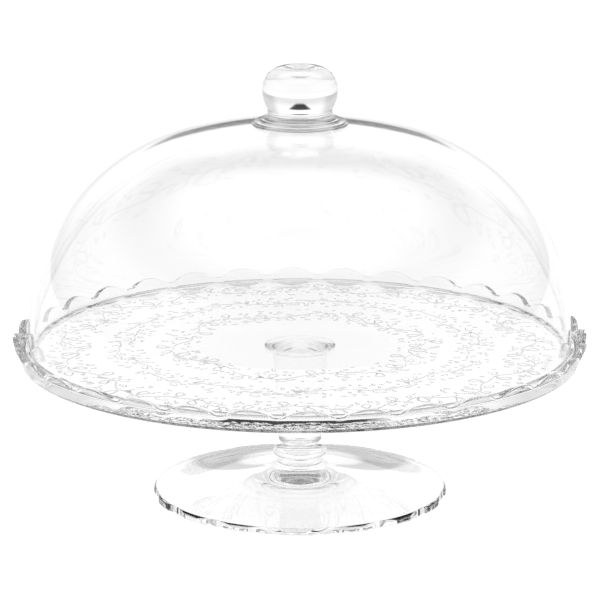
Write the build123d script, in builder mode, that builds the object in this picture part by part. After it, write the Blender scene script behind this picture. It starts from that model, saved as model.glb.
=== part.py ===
from build123d import *

import math
import os

os.makedirs("parts", exist_ok=True)

# A glass cake stand with a lift-off glass dome. Millimetres, +Z up. The foot stands on Z = 0,
# every piece is centred on the Z axis, and the front of the object faces -Y.

# ---- overall sizes ----
plate_tip_r = 185.4  # axis to the tips of the plate's scallops, before their edges are rounded
floor_z = 100.0  # top of the plate's floor, where the cake and the dome stand

# ---- plate ----
floor_t = 6.5  # thickness of the flat floor
rim_h = 6.6  # scallop tips above the floor
rim_drop = 8.6  # lower outer corner of the rim below the floor's top
rim_flare = 5.4  # the scallop tips stand out this far beyond that corner
rim_top_w = 4.3  # radial width of the rim's top
rim_lean = 3.8  # the inner wall leans out this much over its height
rim_swell_w = 12.0  # the underside drops to the rim over this width
scallops = 32
scallop_gap = 5.3  # flat valley between two scallops
scallop_rise = 4.6  # height of one scallop above the valleys beside it
scallop_turn = 1.6  # degrees from +X to the middle of the first scallop
arch_round = 1.0
rim_round = 1.6  # lower outer corner of the rim
wall_round = 1.4  # where the floor turns up into the rim
bury = 0.6  # how far one solid runs into another of the same piece, to fuse

# ---- foot ----
foot_h = 34.2  # from the table to the face that carries the stem
lobe_tip_r = 95.2
lobe_depth = 2.0  # from the tips of the foot's lobes to the scoops between them
lobes = 16
lobe_turn = -1.6  # degrees from +X to the tip of the first lobe
scoop_r = 52.0  # the round scoops cut between the lobes, upright cylinders
foot_edge_h = 2.6  # the edge is upright to here and then rounds over
foot_edge_w = 2.0  # radial width of the rounded edge
foot_top_z = 4.6  # top of the disc where the rounded edge ends
foot_rest_w = 3.4  # radial width of the ring that the foot stands on, tips included
foot_rest_round = 0.8
foot_hollow_h = 9.6  # the underside rises this much at the axis, so the disc is evenly thin
disc_slope = 0.08  # rise of the disc towards the axis at its edge, above and below
hub_r = 25.2  # where the disc turns up into the hub
hub_z = 15.4
hub_slope = 0.27
neck_r = 15.0  # the narrow neck above the hub
neck_z = 24.0
neck_lean = 0.4  # the hub's side leans this much as it reaches the neck
knop_under_slope = 0.5  # rise of the knop's underside away from the neck
knop_r = 17.3  # the knop is the ring above the neck
knop_z = 27.8
knop_top_slope = 0.6  # fall of the knop's top towards its edge, at the joint

# ---- stem ----
stem_low_r = 14.0  # the column at its lower end
stem_high_r = 17.6  # the column just below its flare
stem_flare_r = 22.8  # the flare against the plate's underside
stem_flare_h = 4.9
flare_edge = 0.8  # upright edge of the flare
joint_round = 1.4  # the column's lower edge is drawn in, which shows as a groove at the joint
joint_round_h = 2.8
joint_slope = 0.3  # rise of that drawn-in edge where it starts
flare_slope = 0.5  # rise of the flare where it meets its edge

# ---- dome ----
dome_gap = 2.6  # between the dome's rim and the plate's inner wall, at the floor
dome_t = 3.0
wall_arc_r = 232.0  # upright lower part of the wall
wall_arc_deg = 7.1
shoulder_arc_r = 126.2  # the round shoulder
shoulder_arc_deg = 75.8

# ---- knob and its collar: heights of the collar are above the top of the dome's crown ----
collar_low_r = 30.6
collar_mid_r = 29.0
collar_high_r = 25.8
collar_low_step = 1.0
collar_mid_step = 1.7
collar_high_h = 2.2
collar_high_round = 0.9
collar_low_round = 0.4
knob_h = 33.2
knob_base_r = 23.2
knob_neck_r = 20.8
knob_neck_h = 4.2  # the neck's narrowest place above the knob's base
knob_base_slope = 0.6  # rise of the neck's side where it leaves the base
knob_r = 24.1  # the squashed ball at its widest
knob_top_arc_r = 14.2  # the ball's upper part rounds over with this radius
knob_low_arc_r = 28.7  # and draws in below its widest with this one
knob_low_arc_deg = 21.0
dimple_depth = 2.2

# ---- sizes that follow from those above ----
tip_z = floor_z + rim_h
valley_z = tip_z - scallop_rise
plate_under_z = floor_z - floor_t
rim_low_z = floor_z - rim_drop
rim_low_r = plate_tip_r - rim_flare
rim_slope = rim_flare / (tip_z - rim_low_z)
wall_slope = rim_lean / rim_h
tip_inner_r = plate_tip_r - rim_top_w
wall_foot_r = tip_inner_r - rim_lean
valley_outer_r = plate_tip_r - rim_slope * scallop_rise
valley_inner_r = tip_inner_r - wall_slope * scallop_rise
scallop_chord = 2 * plate_tip_r * math.sin(math.pi / scallops) - scallop_gap
dome_rim_r = wall_foot_r - dome_gap
foot_top_r = lobe_tip_r - foot_edge_w
foot_rest_r = lobe_tip_r - foot_rest_w
joint_r = stem_low_r - joint_round

# ---- the dome's outline, from the rim up: three arcs that meet with one tangent ----
wall_turn = math.radians(wall_arc_deg)
shoulder_turn = math.radians(shoulder_arc_deg)
wall_cr = dome_rim_r - wall_arc_r
shoulder_cr = wall_cr + (wall_arc_r - shoulder_arc_r) * math.cos(wall_turn)
shoulder_cz = floor_z + (wall_arc_r - shoulder_arc_r) * math.sin(wall_turn)
crown_arc_r = shoulder_arc_r + shoulder_cr / math.cos(shoulder_turn)
crown_cz = shoulder_cz + (shoulder_arc_r - crown_arc_r) * math.sin(shoulder_turn)


def on_wall(turn, inset):
    r = wall_arc_r - inset
    return (wall_cr + r * math.cos(turn), floor_z + r * math.sin(turn))


def on_shoulder(turn, inset):
    r = shoulder_arc_r - inset
    return (shoulder_cr + r * math.cos(turn), shoulder_cz + r * math.sin(turn))


def crown_z_at(r, inset):
    return crown_cz + math.sqrt((crown_arc_r - inset) ** 2 - r**2)


crown_z = crown_z_at(0, 0)


# ---- foot: thin scalloped disc, hub, neck and knop ----
with BuildPart() as foot:
    with BuildSketch(Plane.XZ):
        with BuildLine():
            Spline((0, foot_hollow_h), (foot_rest_r, 0), tangents=[(1, 0), (1, -disc_slope)])
            Line((foot_rest_r, 0), (lobe_tip_r - foot_rest_round, 0))
            TangentArc(
                (lobe_tip_r - foot_rest_round, 0),
                (lobe_tip_r, foot_rest_round),
                tangent=(1, 0),
            )
            Line((lobe_tip_r, foot_rest_round), (lobe_tip_r, foot_edge_h))
            Spline(
                (lobe_tip_r, foot_edge_h),
                (foot_top_r, foot_top_z),
                tangents=[(0, 1), (-1, disc_slope)],
            )
            Spline(
                (foot_top_r, foot_top_z),
                (hub_r, hub_z),
                tangents=[(-1, disc_slope), (-1, hub_slope)],
            )
            Spline(
                (hub_r, hub_z),
                (neck_r, neck_z),
                tangents=[(-1, hub_slope), (neck_lean, 1)],
            )
            Spline(
                (neck_r, neck_z),
                (knop_r, knop_z),
                (joint_r, foot_h),
                tangents=[(1, knop_under_slope), (-1, knop_top_slope)],
            )
            Line((joint_r, foot_h), (0, foot_h))
            Line((0, foot_h), (0, foot_hollow_h))
        make_face()
    revolve(axis=Axis.Z)
    with PolarLocations(
        lobe_tip_r - lobe_depth + scoop_r, lobes, start_angle=lobe_turn + 180 / lobes
    ):
        Cylinder(scoop_r, 2 * foot_top_z, mode=Mode.SUBTRACT)
foot.part.label = "foot"

# ---- stem: one solid tapered column, flared against the plate ----
stem_high_z = plate_under_z - stem_flare_h
stem_taper = (stem_high_r - stem_low_r) / (stem_high_z - foot_h - joint_round_h)
with BuildPart() as stem:
    with BuildSketch(Plane.XZ):
        with BuildLine():
            Line((0, foot_h), (joint_r, foot_h))
            Spline(
                (joint_r, foot_h),
                (stem_low_r, foot_h + joint_round_h),
                tangents=[(1, joint_slope), (stem_taper, 1)],
            )
            Line((stem_low_r, foot_h + joint_round_h), (stem_high_r, stem_high_z))
            Spline(
                (stem_high_r, stem_high_z),
                (stem_flare_r, plate_under_z - flare_edge),
                tangents=[(stem_taper, 1), (1, flare_slope)],
            )
            Line((stem_flare_r, plate_under_z - flare_edge), (stem_flare_r, plate_under_z))
            Line((stem_flare_r, plate_under_z), (0, plate_under_z))
            Line((0, plate_under_z), (0, foot_h))
        make_face()
    revolve(axis=Axis.Z)
stem.part.label = "stem"

# ---- plate: flat floor, flared rim, and a ring of arches standing on the rim ----
with BuildPart() as arch_blanks:
    for k in range(scallops):
        turn = math.radians(scallop_turn + 360 * k / scallops)
        outward = Vector(math.cos(turn), math.sin(turn), 0)
        start = outward * (wall_foot_r - rim_top_w)
        side = Vector(-math.sin(turn), math.cos(turn), 0)
        with BuildSketch(Plane(origin=start, x_dir=side, z_dir=outward)):
            with BuildLine():
                ThreePointArc(
                    (-scallop_chord / 2, valley_z),
                    (0, tip_z),
                    (scallop_chord / 2, valley_z),
                )
                Line((scallop_chord / 2, valley_z), (scallop_chord / 2, floor_z))
                Line((scallop_chord / 2, floor_z), (-scallop_chord / 2, floor_z))
                Line((-scallop_chord / 2, floor_z), (-scallop_chord / 2, valley_z))
            make_face()
        extrude(amount=plate_tip_r - wall_foot_r + 2 * rim_top_w)

with BuildPart() as arches:
    with BuildSketch(Plane.XZ):
        with BuildLine():
            Polyline(
                (valley_inner_r - wall_slope * bury, valley_z - bury),
                (valley_outer_r - rim_slope * bury, valley_z - bury),
                (plate_tip_r, tip_z),
                (tip_inner_r, tip_z),
                close=True,
            )
        make_face()
    revolve(axis=Axis.Z)
    add(arch_blanks.part, mode=Mode.INTERSECT)
    crests = arches.edges().filter_by(
        lambda e: e.position_at(0.5).Z > tip_z - bury and e.length > scallop_chord / 2
    )
    fillet(crests, radius=arch_round)

with BuildPart() as plate:
    with BuildSketch(Plane.XZ):
        with BuildLine():
            Polyline(
                (0, plate_under_z),
                (rim_low_r - rim_swell_w, plate_under_z),
                (rim_low_r - rim_top_w, rim_low_z),
                (rim_low_r, rim_low_z),
                (valley_outer_r, valley_z),
                (valley_inner_r, valley_z),
                (wall_foot_r, floor_z),
                (0, floor_z),
                close=True,
            )
        make_face()
    revolve(axis=Axis.Z)
    circles = plate.edges().filter_by(GeomType.CIRCLE)
    fillet(circles.filter_by(lambda e: abs(e.radius - rim_low_r) < bury), radius=rim_round)
    fillet(circles.filter_by(lambda e: abs(e.radius - wall_foot_r) < bury), radius=wall_round)
    add(arches.part)
plate.part.label = "plate"

# ---- dome: a thin shell, open below, with a fully rounded rim ----
with BuildPart() as dome:
    rim_mid_z = floor_z + dome_t / 2
    rim_turn = math.asin(dome_t / 2 / wall_arc_r)
    crown_low_out = on_shoulder(shoulder_turn, 0)
    crown_low_in = on_shoulder(shoulder_turn, dome_t)
    with BuildSketch(Plane.XZ):
        with BuildLine():
            ThreePointArc(
                on_wall(rim_turn, 0),
                on_wall((rim_turn + wall_turn) / 2, 0),
                on_wall(wall_turn, 0),
            )
            ThreePointArc(
                on_shoulder(wall_turn, 0),
                on_shoulder((wall_turn + shoulder_turn) / 2, 0),
                crown_low_out,
            )
            ThreePointArc(
                crown_low_out,
                (crown_low_out[0] / 2, crown_z_at(crown_low_out[0] / 2, 0)),
                (0, crown_z),
            )
            Line((0, crown_z), (0, crown_z - dome_t))
            ThreePointArc(
                (0, crown_z - dome_t),
                (crown_low_in[0] / 2, crown_z_at(crown_low_in[0] / 2, dome_t)),
                crown_low_in,
            )
            ThreePointArc(
                crown_low_in,
                on_shoulder((wall_turn + shoulder_turn) / 2, dome_t),
                on_shoulder(wall_turn, dome_t),
            )
            ThreePointArc(
                on_wall(wall_turn, dome_t),
                on_wall((rim_turn + wall_turn) / 2, dome_t),
                on_wall(rim_turn, dome_t),
            )
            ThreePointArc(
                on_wall(rim_turn, dome_t),
                (dome_rim_r - dome_t / 2, floor_z),
                on_wall(rim_turn, 0),
            )
        make_face()
    revolve(axis=Axis.Z)
dome.part.label = "dome"

# ---- collar: three stepped rings on the dome's crown ----
collar_z = crown_z + collar_high_h
collar_mid_z = collar_z - collar_mid_step
collar_low_z = collar_mid_z - collar_low_step
with BuildPart() as knob_collar:
    with BuildSketch(Plane.XZ):
        with BuildLine():
            ThreePointArc(
                (0, crown_z),
                (collar_low_r / 2, crown_z_at(collar_low_r / 2, 0)),
                (collar_low_r, crown_z_at(collar_low_r, 0)),
            )
            Polyline(
                (collar_low_r, crown_z_at(collar_low_r, 0)),
                (collar_low_r, collar_low_z),
                (collar_mid_r, collar_low_z),
                (collar_mid_r, collar_mid_z),
                (collar_high_r, collar_mid_z),
                (collar_high_r, collar_z),
                (0, collar_z),
                (0, crown_z),
            )
        make_face()
    revolve(axis=Axis.Z)
    collar_top = knob_collar.faces().sort_by(Axis.Z)[-1]
    fillet(collar_top.edges(), radius=collar_high_round)
    for step_r, step_z in ((collar_low_r, collar_low_z), (collar_mid_r, collar_mid_z)):
        rings = knob_collar.edges().filter_by(GeomType.CIRCLE)
        shoulder = rings.filter_by(
            lambda e: abs(e.radius - step_r) + abs(e.position_at(0).Z - step_z) < collar_low_round
        )
        fillet(shoulder, radius=collar_low_round)
knob_collar.part.label = "knob_collar"

# ---- knob: a solid squashed ball on a short neck, dimpled on top ----
knob_top_z = collar_z + knob_h
knob_mid_z = knob_top_z - knob_top_arc_r
dimple_r = knob_r - knob_top_arc_r
top_turn = math.radians(90) / 2
low_turn = math.radians(knob_low_arc_deg)


def below_widest(turn):
    return (
        knob_r - knob_low_arc_r * (1 - math.cos(turn)),
        knob_mid_z - knob_low_arc_r * math.sin(turn),
    )


with BuildPart() as knob:
    with BuildSketch(Plane.XZ):
        with BuildLine():
            Line((0, collar_z), (knob_base_r, collar_z))
            Spline(
                (knob_base_r, collar_z),
                (knob_neck_r, collar_z + knob_neck_h),
                below_widest(low_turn),
                tangents=[(-1, knob_base_slope), (math.sin(low_turn), math.cos(low_turn))],
            )
            ThreePointArc(below_widest(low_turn), below_widest(low_turn / 2), (knob_r, knob_mid_z))
            ThreePointArc(
                (knob_r, knob_mid_z),
                (
                    dimple_r + knob_top_arc_r * math.cos(top_turn),
                    knob_mid_z + knob_top_arc_r * math.sin(top_turn),
                ),
                (dimple_r, knob_top_z),
            )
            Spline(
                (dimple_r, knob_top_z),
                (0, knob_top_z - dimple_depth),
                tangents=[(-1, 0), (-1, 0)],
            )
            Line((0, knob_top_z - dimple_depth), (0, collar_z))
        make_face()
    revolve(axis=Axis.Z)
knob.part.label = "knob"

export_step(foot.part, "parts/foot.step")
export_step(stem.part, "parts/stem.step")
export_step(plate.part, "parts/plate.step")
export_step(dome.part, "parts/dome.step")
export_step(knob_collar.part, "parts/knob_collar.step")
export_step(knob.part, "parts/knob.step")
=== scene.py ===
import math

import bpy
import numpy as np
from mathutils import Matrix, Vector
from mathutils.geometry import delaunay_2d_cdt


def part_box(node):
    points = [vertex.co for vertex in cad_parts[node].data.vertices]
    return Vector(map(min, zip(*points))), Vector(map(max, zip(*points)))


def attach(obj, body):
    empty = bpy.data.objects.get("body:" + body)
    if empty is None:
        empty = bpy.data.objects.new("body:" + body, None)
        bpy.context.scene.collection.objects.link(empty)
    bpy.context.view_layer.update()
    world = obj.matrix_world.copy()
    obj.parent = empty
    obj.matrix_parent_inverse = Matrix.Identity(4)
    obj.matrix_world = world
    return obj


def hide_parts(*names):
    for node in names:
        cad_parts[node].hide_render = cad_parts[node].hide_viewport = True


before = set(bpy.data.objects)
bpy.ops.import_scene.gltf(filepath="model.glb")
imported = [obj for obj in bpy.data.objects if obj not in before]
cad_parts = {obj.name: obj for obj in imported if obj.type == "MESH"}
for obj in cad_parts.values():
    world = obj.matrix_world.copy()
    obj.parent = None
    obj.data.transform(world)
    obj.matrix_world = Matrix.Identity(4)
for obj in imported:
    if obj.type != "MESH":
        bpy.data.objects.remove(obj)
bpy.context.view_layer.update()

MM = 0.001

# ---- sizes read from the frame ----
plate_low, plate_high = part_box("plate")
dome_low, dome_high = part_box("dome")
foot_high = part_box("foot")[1]
stem_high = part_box("stem")[1]
collar_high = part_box("knob_collar")[1]
knob_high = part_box("knob")[1]

tip_round = 0.375 * MM  # what the scallops' rounding takes off their tips
tip_r = plate_high.x + tip_round
tip_z = plate_high.z
rim_low_z = plate_low.z
floor_z = dome_low.z
plate_under_z = stem_high.z
foot_h = foot_high.z
lobe_tip_r = foot_high.x
flare_r = stem_high.x
dome_rim_r = dome_high.x
collar_z = collar_high.z
collar_r = collar_high.x
knob_r = knob_high.x
knob_top_z = knob_high.z

COLUMNS = 256  # round a turned piece
HOLD = 0.05 * MM  # how far inside the ends of a flat run its extra points lie
BOND = 0.03 * MM  # bonded glass pieces run this far into each other


# ---- mesh helpers ----
def arc(cx, cz, r, a0, a1, n):
    """n + 1 points of an arc in a section, angles in degrees from +r towards +z."""
    a = np.radians(np.linspace(a0, a1, n + 1))
    return np.column_stack([cx + r * np.cos(a), cz + r * np.sin(a)])


def hermite(p0, p1, t0, t1, n):
    """n + 1 points of a smooth curve from p0 to p1 that starts along t0 and ends along t1."""
    p0, p1, t0, t1 = (np.array(v, float) for v in (p0, p1, t0, t1))
    size = np.linalg.norm(p1 - p0)
    t0, t1 = t0 / np.linalg.norm(t0) * size, t1 / np.linalg.norm(t1) * size
    s = np.linspace(0, 1, n + 1)[:, None]
    return (
        (2 * s**3 - 3 * s**2 + 1) * p0
        + (s**3 - 2 * s**2 + s) * t0
        + (3 * s**2 - 2 * s**3) * p1
        + (s**3 - s**2) * t1
    )


def line(p0, p1, n=1):
    """n + 1 points of a straight run, with one more close to each end to keep its shading flat."""
    p0, p1 = np.array(p0, float), np.array(p1, float)
    hold = min(0.1, HOLD / np.linalg.norm(p1 - p0))
    s = np.concatenate([[0, hold], np.linspace(0, 1, n + 1)[1:-1], [1 - hold, 1]])[:, None]
    return p0 + (p1 - p0) * s


def join(*runs):
    """One section from several runs, with repeated points dropped."""
    points = [runs[0][0]]
    for run in runs:
        for p in run:
            if np.hypot(*(p - points[-1])) > 1e-6:
                points.append(p)
    return np.array(points)


def make(name, verts, faces, body, node, material, sharp_deg=35):
    """A mesh object that replaces one node, smooth except at edges sharper than sharp_deg."""
    mesh = bpy.data.meshes.new(name)
    mesh.from_pydata([tuple(v) for v in verts], [], [tuple(f) for f in faces])
    mesh.validate()
    mesh.update()
    mesh.shade_smooth()
    mesh.set_sharp_from_angle(angle=math.radians(sharp_deg))
    obj = bpy.data.objects.new(name, mesh)
    bpy.context.scene.collection.objects.link(obj)
    mesh.materials.append(material)
    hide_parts(node)
    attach(obj, body)
    return obj


def rings(sections, first, last):
    """Vertices and faces of a closed body: sections is rows x columns x 3, joined round, with the
    points first and last closing it on the axis."""
    rows, cols = sections.shape[:2]
    verts = [first, *sections.reshape(-1, 3), last]
    faces = []
    for c in range(cols):
        d = (c + 1) % cols
        faces.append((0, 1 + d, 1 + c))
        for r in range(rows - 1):
            a = 1 + r * cols
            faces.append((a + c, a + d, a + cols + d, a + cols + c))
        a = 1 + (rows - 1) * cols
        faces.append((a + c, a + d, 1 + rows * cols))
    return verts, faces


def lathe(section):
    """A body of revolution from a section that starts and ends on the axis, listed so that its
    faces look outwards when it runs from the underside round to the top."""
    a = np.linspace(0, 2 * math.pi, COLUMNS, endpoint=False)
    inner = section[1:-1]
    body = np.empty((len(inner), COLUMNS, 3))
    body[..., 0] = inner[:, :1] * np.cos(a)
    body[..., 1] = inner[:, :1] * np.sin(a)
    body[..., 2] = inner[:, 1:]
    return rings(body, (0, 0, section[0, 1]), (0, 0, section[-1, 1]))


# ---- materials ----
CLEAR = (0.99, 0.99, 0.99, 1)
# a near-black glass tint for the relief's walls: painted shade that draws the relief's outlines dark
RELIEF_SHADE_TINT = (0.12, 0.125, 0.125, 1)


def glass(name, ripple, ripple_size, haze, tint=CLEAR):
    """Clear glass whose surface waves by ripple over ripple_size metres, with patches up to haze rough."""
    mat = bpy.data.materials.new(name)
    mat.use_nodes = True
    tree = mat.node_tree
    shader = tree.nodes["Principled BSDF"]
    shader.inputs["Base Color"].default_value = tint
    shader.inputs["Transmission Weight"].default_value = 1.0
    shader.inputs["IOR"].default_value = 1.5
    place = tree.nodes.new("ShaderNodeTexCoord")
    wave = tree.nodes.new("ShaderNodeTexNoise")
    wave.inputs["Scale"].default_value = 1 / ripple_size
    wave.inputs["Detail"].default_value = 1.0
    bump = tree.nodes.new("ShaderNodeBump")
    bump.inputs["Strength"].default_value = 1.0
    bump.inputs["Distance"].default_value = ripple
    tree.links.new(place.outputs["Object"], wave.inputs["Vector"])
    tree.links.new(wave.outputs["Fac"], bump.inputs["Height"])
    tree.links.new(bump.outputs["Normal"], shader.inputs["Normal"])
    smear = tree.nodes.new("ShaderNodeTexNoise")
    smear.inputs["Scale"].default_value = 18.0
    smear.inputs["Detail"].default_value = 4.0
    level = tree.nodes.new("ShaderNodeMapRange")
    level.inputs["From Min"].default_value = 0.45
    level.inputs["From Max"].default_value = 0.8
    level.inputs["To Min"].default_value = 0.0
    level.inputs["To Max"].default_value = haze
    tree.links.new(place.outputs["Object"], smear.inputs["Vector"])
    tree.links.new(smear.outputs["Fac"], level.inputs["Value"])
    tree.links.new(level.outputs["Result"], shader.inputs["Roughness"])
    return mat


pressed = glass("pressed_glass", 0.06 * MM, 30 * MM, 0.02)
# the same glass tinted nearly black, as painted shade for the relief's outlines
relief_shade_glass = glass("relief_painted_shade", 0.06 * MM, 30 * MM, 0.02, RELIEF_SHADE_TINT)
drawn = glass("drawn_glass", 0.03 * MM, 20 * MM, 0.01)
blown = glass("blown_glass", 0.02 * MM, 60 * MM, 0.01)

# ---- foot ----
lobes, lobe_depth, lobe_turn, scoop_r = 16, 2.0 * MM, math.radians(-1.6), 52.0 * MM
foot_edge_h, foot_edge_w, foot_top_z = 2.6 * MM, 2.0 * MM, 4.6 * MM
foot_rest_w, foot_rest_round, foot_hollow_h = 3.4 * MM, 0.8 * MM, 9.6 * MM
disc_slope, hub_slope, neck_lean = 0.08, 0.27, 0.4
knop_under_slope, knop_top_slope, knop_lean = 0.5, 0.6, 0.1
columns_per_lobe = 24
hub_r, hub_z = 25.2 * MM, 15.4 * MM
neck_r, neck_z, knop_r, knop_z = 15.0 * MM, 24.0 * MM, 17.3 * MM, 27.8 * MM
stem_low_r, joint_round, joint_round_h = 14.0 * MM, 1.4 * MM, 2.8 * MM
joint_r = stem_low_r - joint_round
foot_rest_r = lobe_tip_r - foot_rest_w
foot_top_r = lobe_tip_r - foot_edge_w

section = join(
    hermite((0, foot_hollow_h), (foot_rest_r, 0), (1, 0), (1, -disc_slope), 60),
    line((foot_rest_r, 0), (lobe_tip_r - foot_rest_round, 0), 3),
    arc(lobe_tip_r - foot_rest_round, foot_rest_round, foot_rest_round, -90, 0, 6),
    line((lobe_tip_r, foot_rest_round), (lobe_tip_r, foot_edge_h), 3),
    hermite((lobe_tip_r, foot_edge_h), (foot_top_r, foot_top_z), (0, 1), (-1, disc_slope), 10),
    hermite((foot_top_r, foot_top_z), (hub_r, hub_z), (-1, disc_slope), (-1, hub_slope), 40),
    hermite((hub_r, hub_z), (neck_r, neck_z), (-1, hub_slope), (neck_lean, 1), 24),
    hermite((neck_r, neck_z), (knop_r, knop_z), (1, knop_under_slope), (-knop_lean, 1), 10),
    hermite((knop_r, knop_z), (joint_r, foot_h), (-knop_lean, 1), (-1, knop_top_slope), 14),
    line((joint_r, foot_h), (0, foot_h), 4),
)
# a round scoop between each two lobes cuts the edge back
cols = lobes * columns_per_lobe
a = np.linspace(0, 2 * math.pi, cols, endpoint=False)
inner = section[1:-1]
scoop_c = lobe_tip_r - lobe_depth + scoop_r
off = (a - lobe_turn) % (2 * math.pi / lobes) - math.pi / lobes
reach = scoop_c * np.cos(off) - np.sqrt(
    np.maximum(scoop_r**2 - (scoop_c * np.sin(off)) ** 2, 0)
)
radius = np.minimum(inner[:, :1], np.minimum(reach, lobe_tip_r)[None, :])
body = np.empty((len(inner), cols, 3))
body[..., 0] = radius * np.cos(a)
body[..., 1] = radius * np.sin(a)
body[..., 2] = inner[:, 1:]
verts, faces = rings(body, (0, 0, section[0, 1]), (0, 0, section[-1, 1]))
make("foot_glass", verts, faces, "stand", "foot", pressed)

# ---- stem ----
stem_high_r, stem_flare_h, flare_edge = 17.6 * MM, 4.9 * MM, 0.8 * MM
joint_slope, flare_slope = 0.3, 0.5
stem_foot_z, stem_top_z = foot_h - BOND, plate_under_z + BOND
taper = (stem_high_r - stem_low_r) / (plate_under_z - stem_flare_h - foot_h - joint_round_h)
section = join(
    line((0, stem_foot_z), (joint_r, stem_foot_z), 4),
    hermite(
        (joint_r, stem_foot_z), (stem_low_r, foot_h + joint_round_h), (1, joint_slope), (taper, 1), 8
    ),
    line((stem_low_r, foot_h + joint_round_h), (stem_high_r, plate_under_z - stem_flare_h), 24),
    hermite(
        (stem_high_r, plate_under_z - stem_flare_h),
        (flare_r, plate_under_z - flare_edge),
        (taper, 1),
        (1, flare_slope),
        12,
    ),
    line((flare_r, plate_under_z - flare_edge), (flare_r, stem_top_z), 1),
    line((flare_r, stem_top_z), (0, stem_top_z), 4),
)
verts, faces = lathe(section)
make("stem_glass", verts, faces, "stand", "stem", drawn)

# ---- plate ----
scallops, scallop_gap, scallop_rise = 32, 5.3 * MM, 4.6 * MM
scallop_turn = math.radians(1.6)
rim_h = tip_z - floor_z
rim_flare, rim_top_w, rim_lean, rim_swell_w = 5.4 * MM, 4.3 * MM, 3.8 * MM, 12.0 * MM
arch_round, rim_round, wall_round = 1.0 * MM, 1.6 * MM, 1.4 * MM
columns_per_scallop = 24
valley_z = tip_z - scallop_rise
rim_low_r = tip_r - rim_flare
wall_foot_r = tip_r - rim_top_w - rim_lean
pitch = 2 * math.pi / scallops
chord = 2 * tip_r * math.sin(math.pi / scallops) - scallop_gap
arch_r = ((chord / 2) ** 2 + scallop_rise**2) / (2 * scallop_rise)
cols = scallops * columns_per_scallop
a = np.linspace(0, 2 * math.pi, cols, endpoint=False) + scallop_turn
off = (a - scallop_turn + pitch / 2) % pitch - pitch / 2
across = tip_r * np.sin(off)
top = np.where(
    abs(across) < chord / 2,
    np.sqrt(np.maximum(arch_r**2 - across**2, 0)) - arch_r + tip_z,
    valley_z,
)
slope_out = rim_flare / (tip_z - rim_low_z)
slope_in = rim_lean / rim_h
under_r = rim_low_r - rim_swell_w
columns = []
for z_top in top:
    r_out = tip_r - slope_out * (tip_z - z_top)
    r_in = tip_r - rim_top_w - slope_in * (tip_z - z_top)
    out_corner = hermite(
        (r_out - slope_out * arch_round, z_top - arch_round),
        (r_out - arch_round, z_top),
        (slope_out, 1),
        (-1, 0),
        5,
    )
    in_corner = hermite(
        (r_in + arch_round, z_top),
        (r_in - slope_in * arch_round, z_top - arch_round),
        (-1, 0),
        (-slope_in, -1),
        5,
    )
    low = arc(rim_low_r - rim_round, rim_low_z + rim_round, rim_round, -90, -10, 6)
    column = np.vstack(
        [
            hermite((under_r, plate_under_z), low[0], (1, 0), (1, 0), 12)[:-1],
            low,
            line(low[-1], out_corner[0], 8)[1:-1],
            out_corner,
            in_corner,
            line(
                in_corner[-1],
                (wall_foot_r + slope_in * wall_round, floor_z + wall_round),
                4,
            )[1:],
            hermite(
                (wall_foot_r + slope_in * wall_round, floor_z + wall_round),
                (wall_foot_r - wall_round, floor_z),
                (-slope_in, -1),
                (-1, 0),
                5,
            )[1:],
            line((wall_foot_r - wall_round, floor_z), (0, floor_z), 3)[1:-1],
        ]
    )
    columns.append(column)
columns = np.array(columns)
body = np.empty((columns.shape[1], cols, 3))
body[..., 0] = columns[..., 0].T * np.cos(a)
body[..., 1] = columns[..., 0].T * np.sin(a)
body[..., 2] = columns[..., 1].T
verts, faces = rings(body, (0, 0, plate_under_z), (0, 0, floor_z))

# ---- relief pressed into the plate's underside: three wreaths of vine, leaf and blossom ----
relief_h, relief_w = 0.35 * MM, 0.7 * MM
vine_half, curl_half = 0.75 * MM, 0.8 * MM
leaf_gap, blossom_gap, curl_gap = 0.35 * MM, 0.5 * MM, 1.2 * MM  # kept free round each one
leaf_root, curl_root = 1.7 * MM, 1.6 * MM  # from the middle of the vine
islands = []  # each one is an outline and the smaller outline that it rises to
taken = []  # discs that later leaves keep clear of
band = [0.0, 0.0]  # the radii between which the present wreath stays


def toward(angle):
    """The unit step in the direction of an angle, or a row for each of several angles."""
    return np.stack([np.cos(angle), np.sin(angle)], axis=-1)


def free(points, room):
    """Whether points, each with its own room, stay in the band and clear of what is there."""
    p = np.asarray(points)
    room = np.broadcast_to(room, len(p))
    r = np.hypot(p[:, 0], p[:, 1])
    if np.any(r > band[1] - room) or np.any(r < band[0] + room):
        return False
    if not taken:
        return True
    discs = np.array(taken)
    far = np.hypot(p[:, None, 0] - discs[None, :, 0], p[:, None, 1] - discs[None, :, 1])
    return bool(np.all(far > discs[None, :, 2] + room[:, None]))


def island(outline, wall_w):
    """Adds a closed outline, listed counter-clockwise, and its inset by wall_w."""
    p = np.asarray(outline)
    along = np.roll(p, -1, 0) - np.roll(p, 1, 0)
    along /= np.linalg.norm(along, axis=1)[:, None] + 1e-12
    islands.append((p, p + wall_w * np.column_stack([-along[:, 1], along[:, 0]])))


def leaf(root, heading, size, bend, fat, check=True):
    """A pointed leaf from its root, curved by bend and fat times its size wide to each side."""
    steps = 7
    t = np.linspace(0, 1, steps + 1)
    turn = heading + bend * t
    spine = root + np.concatenate([[(0, 0)], np.cumsum(size / steps * toward(turn)[:-1], 0)])
    half = fat * size * np.sin(math.pi * t**0.8) ** 0.9  # widest before its middle
    side = np.column_stack([-np.sin(turn), np.cos(turn)])
    right = spine - half[:, None] * side
    left = spine + half[:, None] * side
    if check and not free(spine[1:], half[1:] + leaf_gap):
        return
    island(np.vstack([right, left[1:-1][::-1]]), relief_w)
    for p, h in zip(spine[1:-1], half[1:-1]):
        taken.append((p[0], p[1], max(h, 0.5 * MM)))


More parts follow.
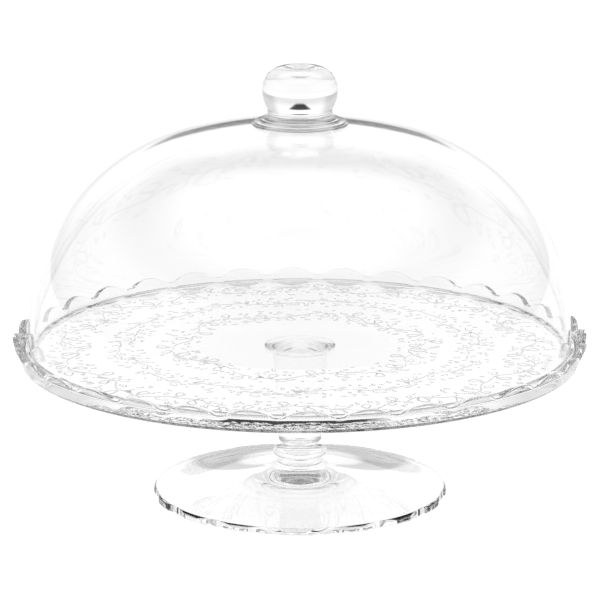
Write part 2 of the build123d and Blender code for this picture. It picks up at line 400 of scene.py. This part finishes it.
def strip(path, half):
    """A thin raised line along a path, which narrows to its end and has a ridge on its middle."""
    end, ridge = 0.75, 0.2
    p = np.asarray(path)
    along = np.gradient(p, axis=0)
    along /= np.linalg.norm(along, axis=1)[:, None]
    side = np.column_stack([-along[:, 1], along[:, 0]])
    reach = side * half * np.linspace(1.0, end, len(p))[:, None]
    outline = np.vstack([p - reach, (p + reach)[::-1]])
    islands.append((outline, np.vstack([p - ridge * reach, (p + ridge * reach)[::-1]])))
    for q in p:
        taken.append((q[0], q[1], half))


def blossom(centre, size, turn):
    """Five petals round a small disc."""
    petals, core, petal_root, petal_fat = 5, 0.24 * size, 0.35 * MM, 0.36
    if not free([centre], size + blossom_gap):
        return
    island(centre + core * toward(np.linspace(0, 2 * math.pi, 8, endpoint=False)), 0.6 * relief_w)
    for k in range(petals):
        way = turn + 2 * math.pi * k / petals
        root = centre + (core + petal_root) * toward(way)
        leaf(root, way, size - core - petal_root, 0.0, petal_fat, check=False)
    taken.append((centre[0], centre[1], size))


def curl(root, heading, way, size):
    """A tendril that leaves its root along heading and winds in, way being 1 or -1."""
    u = np.linspace(0, 1, 20)
    turn = heading + way * (0.9 - 4.6 * u**1.3)
    step = size * 0.105 * (1 - 0.55 * u)
    path = root + np.cumsum(step[:, None] * toward(turn), 0)
    if free(path[3:], curl_gap) and free(path[1:3], 0.3 * MM):
        strip(path, curl_half)


def wreath(mid_r, half_w, swing, waves, leaf_size, start):
    """One band: a waving vine cut into lengths, blossoms and curls in its bays, then leaves."""
    band[:] = mid_r - half_w, mid_r + half_w
    wave = 2 * math.pi / waves

    def vine(t):
        r = mid_r + swing * np.sin(waves * t) + 0.25 * swing * np.sin(3 * waves * t + 1.1)
        return np.column_stack([r * np.cos(t), r * np.sin(t)])

    def vine_point(t):
        return vine(np.array([t]))[0]

    def vine_heading(t):
        d = vine(np.array([t - 1e-4, t + 1e-4]))
        return math.atan2(d[1, 1] - d[0, 1], d[1, 0] - d[0, 0])

    for k in range(waves):
        t0 = start + wave * k
        for part in (0.0, 0.5):
            ends = t0 + wave * (part + np.array([0.05, 0.43]))
            strip(vine(np.linspace(ends[0], ends[1], 24)), vine_half)
        for part, side in ((0.25, -1), (0.75, 1)):
            t = t0 + part * wave
            out = toward(t) * side
            blossom(vine_point(t) + out * 0.62 * leaf_size, 0.5 * leaf_size, t + k)
            for way in (-1, 1):
                root = vine_point(t + way * 0.13 * wave) + out * curl_root
                curl(root, math.atan2(out[1], out[0]), way * side, leaf_size)
    count = int(2 * math.pi * mid_r / (leaf_size * 0.36))
    for k in range(count):
        t = start + 2 * math.pi * (k + 0.5) / count
        heading = vine_heading(t)
        for side in (-1, 1):
            size = leaf_size * (0.8 + 0.22 * math.sin(1.7 * k + 2 * side))
            way = heading + side * (0.75 + 0.25 * math.sin(2.3 * k + side))
            root = vine_point(t) + leaf_root * toward(heading + side * 1.57)
            leaf(root, way, size, -side * 0.7, 0.25)
            tip = root + 1.45 * size * toward(way)
            leaf(tip, way + side * 0.9, 0.55 * size, side * 0.8, 0.24)
            leaf(tip, way - side * 0.9, 0.45 * size, side * 0.8, 0.26)


wreath(149.5 * MM, 17.0 * MM, 6.0 * MM, 13, 11.5 * MM, 0.1)
wreath(113.5 * MM, 14.0 * MM, 5.0 * MM, 10, 10.5 * MM, 0.3)
wreath(78.0 * MM, 16.5 * MM, 6.0 * MM, 6, 11.5 * MM, 0.2)

# the underside is cut to these outlines; its rim keeps the columns' first ring of vertices
flat = [tuple(v[:2]) for v in verts[1 : 1 + cols]]
edges = [(c, (c + 1) % cols) for c in range(cols)]
height = [0.0] * cols
for outer, inner_line in islands:
    for outline, rise in ((outer, 0.0), (inner_line, relief_h)):
        base = len(flat)
        flat += [tuple(p) for p in outline]
        height += [rise] * len(outline)
        edges += [(base + k, base + (k + 1) % len(outline)) for k in range(len(outline))]
cut = delaunay_2d_cdt([Vector(p) for p in flat], edges, [], 1, 1e-7)
new_points, new_faces, sources = cut[0], cut[2], cut[3]
index = []
for p, source in zip(new_points, sources):
    if source and source[0] < cols:
        index.append(1 + source[0])
    else:
        index.append(len(verts))
        rise = max([height[k] for k in source], default=0.0)
        verts.append((p[0], p[1], plate_under_z + rise))
faces = [f for f in faces if 0 not in f]
for f in new_faces:
    corner = [index[k] for k in f]
    p = [new_points[k] for k in f]
    area = sum(p[k][0] * p[k - 2][1] - p[k - 2][0] * p[k][1] for k in range(3))
    faces.append(tuple(corner[::-1]) if area > 0 else tuple(corner))

# a face of the underside with both low and high corners is a wall of the relief
plain_count = len(faces) - len(new_faces)
high = [v[2] > plate_under_z + 0.5 * relief_h for v in verts]
walls = [
    k for k, f in enumerate(faces) if k >= plain_count and 0 < sum(high[c] for c in f) < len(f)
]
used = sorted({k for f in faces for k in f})
renumber = {old: new for new, old in enumerate(used)}
verts = [verts[k] for k in used]
faces = [tuple(renumber[k] for k in f) for f in faces]
plate = make("plate_glass", verts, faces, "stand", "plate", pressed, 18)
# the relief's walls take the nearly black glass: painted shade standing in for the dark outlines of the
# relief's edges
plate.data.materials.append(relief_shade_glass)
slots = np.zeros(len(plate.data.polygons), dtype=np.int32)
slots[walls] = 1
plate.data.polygons.foreach_set("material_index", slots)

# ---- dome ----
dome_t = 3.0 * MM
wall_arc_r, wall_deg = 232.0 * MM, 7.1
shoulder_r, shoulder_deg = 126.2 * MM, 75.8
wall_a, shoulder_a = math.radians(wall_deg), math.radians(shoulder_deg)
wall_c = dome_rim_r - wall_arc_r
shoulder_c = wall_c + (wall_arc_r - shoulder_r) * math.cos(wall_a)
shoulder_z = floor_z + (wall_arc_r - shoulder_r) * math.sin(wall_a)
crown_r = shoulder_r + shoulder_c / math.cos(shoulder_a)
crown_c = shoulder_z + (shoulder_r - crown_r) * math.sin(shoulder_a)
rim_deg = math.degrees(math.asin(dome_t / 2 / wall_arc_r))
lift = 0.02 * MM
outside = [
    arc(wall_c, floor_z, wall_arc_r, rim_deg, wall_deg, 12),
    arc(shoulder_c, shoulder_z, shoulder_r, wall_deg, shoulder_deg, 60),
    arc(0, crown_c, crown_r, shoulder_deg, 90, 24),
]
inside = [
    arc(0, crown_c, crown_r - dome_t, 90, shoulder_deg, 24),
    arc(shoulder_c, shoulder_z, shoulder_r - dome_t, shoulder_deg, wall_deg, 60),
    arc(wall_c, floor_z, wall_arc_r - dome_t, wall_deg, rim_deg, 12),
]
rim = arc(dome_rim_r - dome_t / 2, floor_z + dome_t / 2 + lift, dome_t / 2, -170, -10, 12)
section = join(*inside, rim, *outside)
verts, faces = lathe(section)
make("dome_glass", verts, faces, "lid", "dome", blown)

# ---- collar ----
collar_mid_r, collar_high_r = 29.0 * MM, 25.8 * MM
collar_mid_step, collar_low_step = 1.7 * MM, 1.0 * MM
collar_mid_z = collar_z - collar_mid_step
collar_low_z = collar_mid_z - collar_low_step
round_high, round_low, round_inner = 0.9 * MM, 0.4 * MM, 0.1 * MM
edge = math.degrees(math.acos(collar_r / crown_r))
seat = arc(0, crown_c - BOND, crown_r, 90, edge, 16)
section = join(
    seat,
    line((collar_r, seat[-1, 1]), (collar_r, collar_low_z - round_low), 1),
    arc(collar_r - round_low, collar_low_z - round_low, round_low, 0, 90, 5),
    arc(collar_mid_r + round_inner, collar_low_z + round_inner, round_inner, -90, -180, 2),
    line((collar_mid_r, collar_low_z + round_inner), (collar_mid_r, collar_mid_z - round_low), 1),
    arc(collar_mid_r - round_low, collar_mid_z - round_low, round_low, 0, 90, 5),
    line((collar_mid_r - round_low, collar_mid_z), (collar_high_r, collar_mid_z), 1),
    line((collar_high_r, collar_mid_z), (collar_high_r, collar_z - round_high), 1),
    arc(collar_high_r - round_high, collar_z - round_high, round_high, 0, 90, 6),
    line((collar_high_r - round_high, collar_z), (0, collar_z), 4),
)
verts, faces = lathe(section)
make("collar_glass", verts, faces, "lid", "knob_collar", pressed)

# ---- knob ----
knob_base_r, neck_r, neck_z = 23.2 * MM, 20.8 * MM, collar_z + 4.2 * MM
top_arc_r, low_arc_r, low_deg, dimple = 14.2 * MM, 28.7 * MM, 21.0, 2.2 * MM
knob_base_slope, knob_foot_z = 0.6, collar_z - BOND
knob_mid_z = knob_top_z - top_arc_r
low = arc(knob_r - low_arc_r, knob_mid_z, low_arc_r, -low_deg, 0, 20)
low_a = math.radians(low_deg)
section = join(
    line((0, knob_foot_z), (knob_base_r, knob_foot_z), 4),
    hermite((knob_base_r, knob_foot_z), (neck_r, neck_z), (-1, knob_base_slope), (0, 1), 10),
    hermite((neck_r, neck_z), low[0], (0, 1), (math.sin(low_a), math.cos(low_a)), 8),
    low,
    arc(knob_r - top_arc_r, knob_mid_z, top_arc_r, 0, 90, 30),
    hermite((knob_r - top_arc_r, knob_top_z), (0, knob_top_z - dimple), (-1, 0), (-1, 0), 16),
)
verts, faces = lathe(section)
make("knob_glass", verts, faces, "lid", "knob", pressed)

# ---- floor ----
floor_half, floor_drop, floor_glow = 12.0, 0.2 * MM, 1.05
corners = ((-1, -1), (1, -1), (1, 1), (-1, 1))
mesh = bpy.data.meshes.new("floor")
mesh.from_pydata(
    [(x * floor_half, y * floor_half, -floor_drop) for x, y in corners], [], [(0, 1, 2, 3)]
)
floor = bpy.data.objects.new("floor", mesh)
bpy.context.scene.collection.objects.link(floor)
mat = bpy.data.materials.new("floor_white")
mat.use_nodes = True
tree = mat.node_tree
tree.nodes.clear()
out = tree.nodes.new("ShaderNodeOutputMaterial")
glow = tree.nodes.new("ShaderNodeEmission")
glow.inputs["Strength"].default_value = floor_glow
tree.links.new(glow.outputs["Emission"], out.inputs["Surface"])
mesh.materials.append(mat)

# ---- surroundings: white, with softly darker places that the glass shows as its edges ----
sky_strength = 1.07
front_light, side_light, low_light, band_light = 0.05, 0.7, 0.8, 0.15
world = bpy.data.worlds.new("studio")
bpy.context.scene.world = world
world.use_nodes = True
tree = world.node_tree
sky = tree.nodes["Background"]
place = tree.nodes.new("ShaderNodeTexCoord")
split = tree.nodes.new("ShaderNodeSeparateXYZ")
tree.links.new(place.outputs["Generated"], split.inputs["Vector"])
x, y, z = split.outputs


def grade(source, low, high, dark):
    """A soft step over a value: dark at low, 1 at high."""
    node = tree.nodes.new("ShaderNodeMapRange")
    node.interpolation_type = "SMOOTHSTEP"
    node.inputs["From Min"].default_value = low
    node.inputs["From Max"].default_value = high
    node.inputs["To Min"].default_value = dark
    node.inputs["To Max"].default_value = 1.0
    tree.links.new(source, node.inputs["Value"])
    return node.outputs["Result"]


def combine(kind, a, b=None):
    """A math node over sockets or plain numbers."""
    node = tree.nodes.new("ShaderNodeMath")
    node.operation = kind
    for socket, value in zip(node.inputs, (a, b)):
        if isinstance(value, float):
            socket.default_value = value
        elif value is not None:
            tree.links.new(value, socket)
    return node.outputs["Value"]


wide = combine("ABSOLUTE", x)
light = grade(y, -1.0, -0.5, front_light)  # the room behind the camera
light = combine("MULTIPLY", light, grade(wide, 0.65, 0.4, side_light))  # both sides
light = combine("MULTIPLY", light, grade(z, 0.02, 0.17, low_light))  # beyond the floor's edge
from_band = combine("ABSOLUTE", combine("SUBTRACT", z, 0.65))
light = combine("MULTIPLY", light, grade(from_band, 0.0, 0.22, band_light))  # under the ceiling
# a small dark gap low down behind the table, which widens upwards
flank = combine("SUBTRACT", wide, combine("MULTIPLY", z, 1.1))
gap = combine("MULTIPLY", grade(flank, 0.05, -0.03, 0.0), grade(y, 0.3, 0.6, 0.0))
height = combine("MULTIPLY", grade(z, 0.03, 0.09, 0.0), grade(z, 0.2, 0.17, 0.0))
light = combine("MULTIPLY", light, combine("SUBTRACT", 1.0, combine("MULTIPLY", gap, height)))
tree.links.new(light, sky.inputs["Color"])
sky.inputs["Strength"].default_value = sky_strength

# ---- camera ----
look = Vector((0, 0, floor_z))
elevation, distance = math.radians(14.85), 2.124
aim_up = math.radians(0.738)  # how far above that point the picture's centre lies
bounces = 22
cam_data = bpy.data.cameras.new("camera")
cam = bpy.data.objects.new("camera", cam_data)
bpy.context.scene.collection.objects.link(cam)
cam.location = look + distance * Vector((0, -math.cos(elevation), math.sin(elevation)))
cam.rotation_euler = (math.pi / 2 - (elevation - aim_up), 0, 0)
cam_data.lens = 197.4
cam_data.sensor_width = 36.0
cam_data.clip_end = 100
scene = bpy.context.scene
scene.camera = cam
scene.view_settings.view_transform = "Standard"
scene.cycles.max_bounces = bounces
scene.cycles.transmission_bounces = bounces
scene.cycles.glossy_bounces = bounces
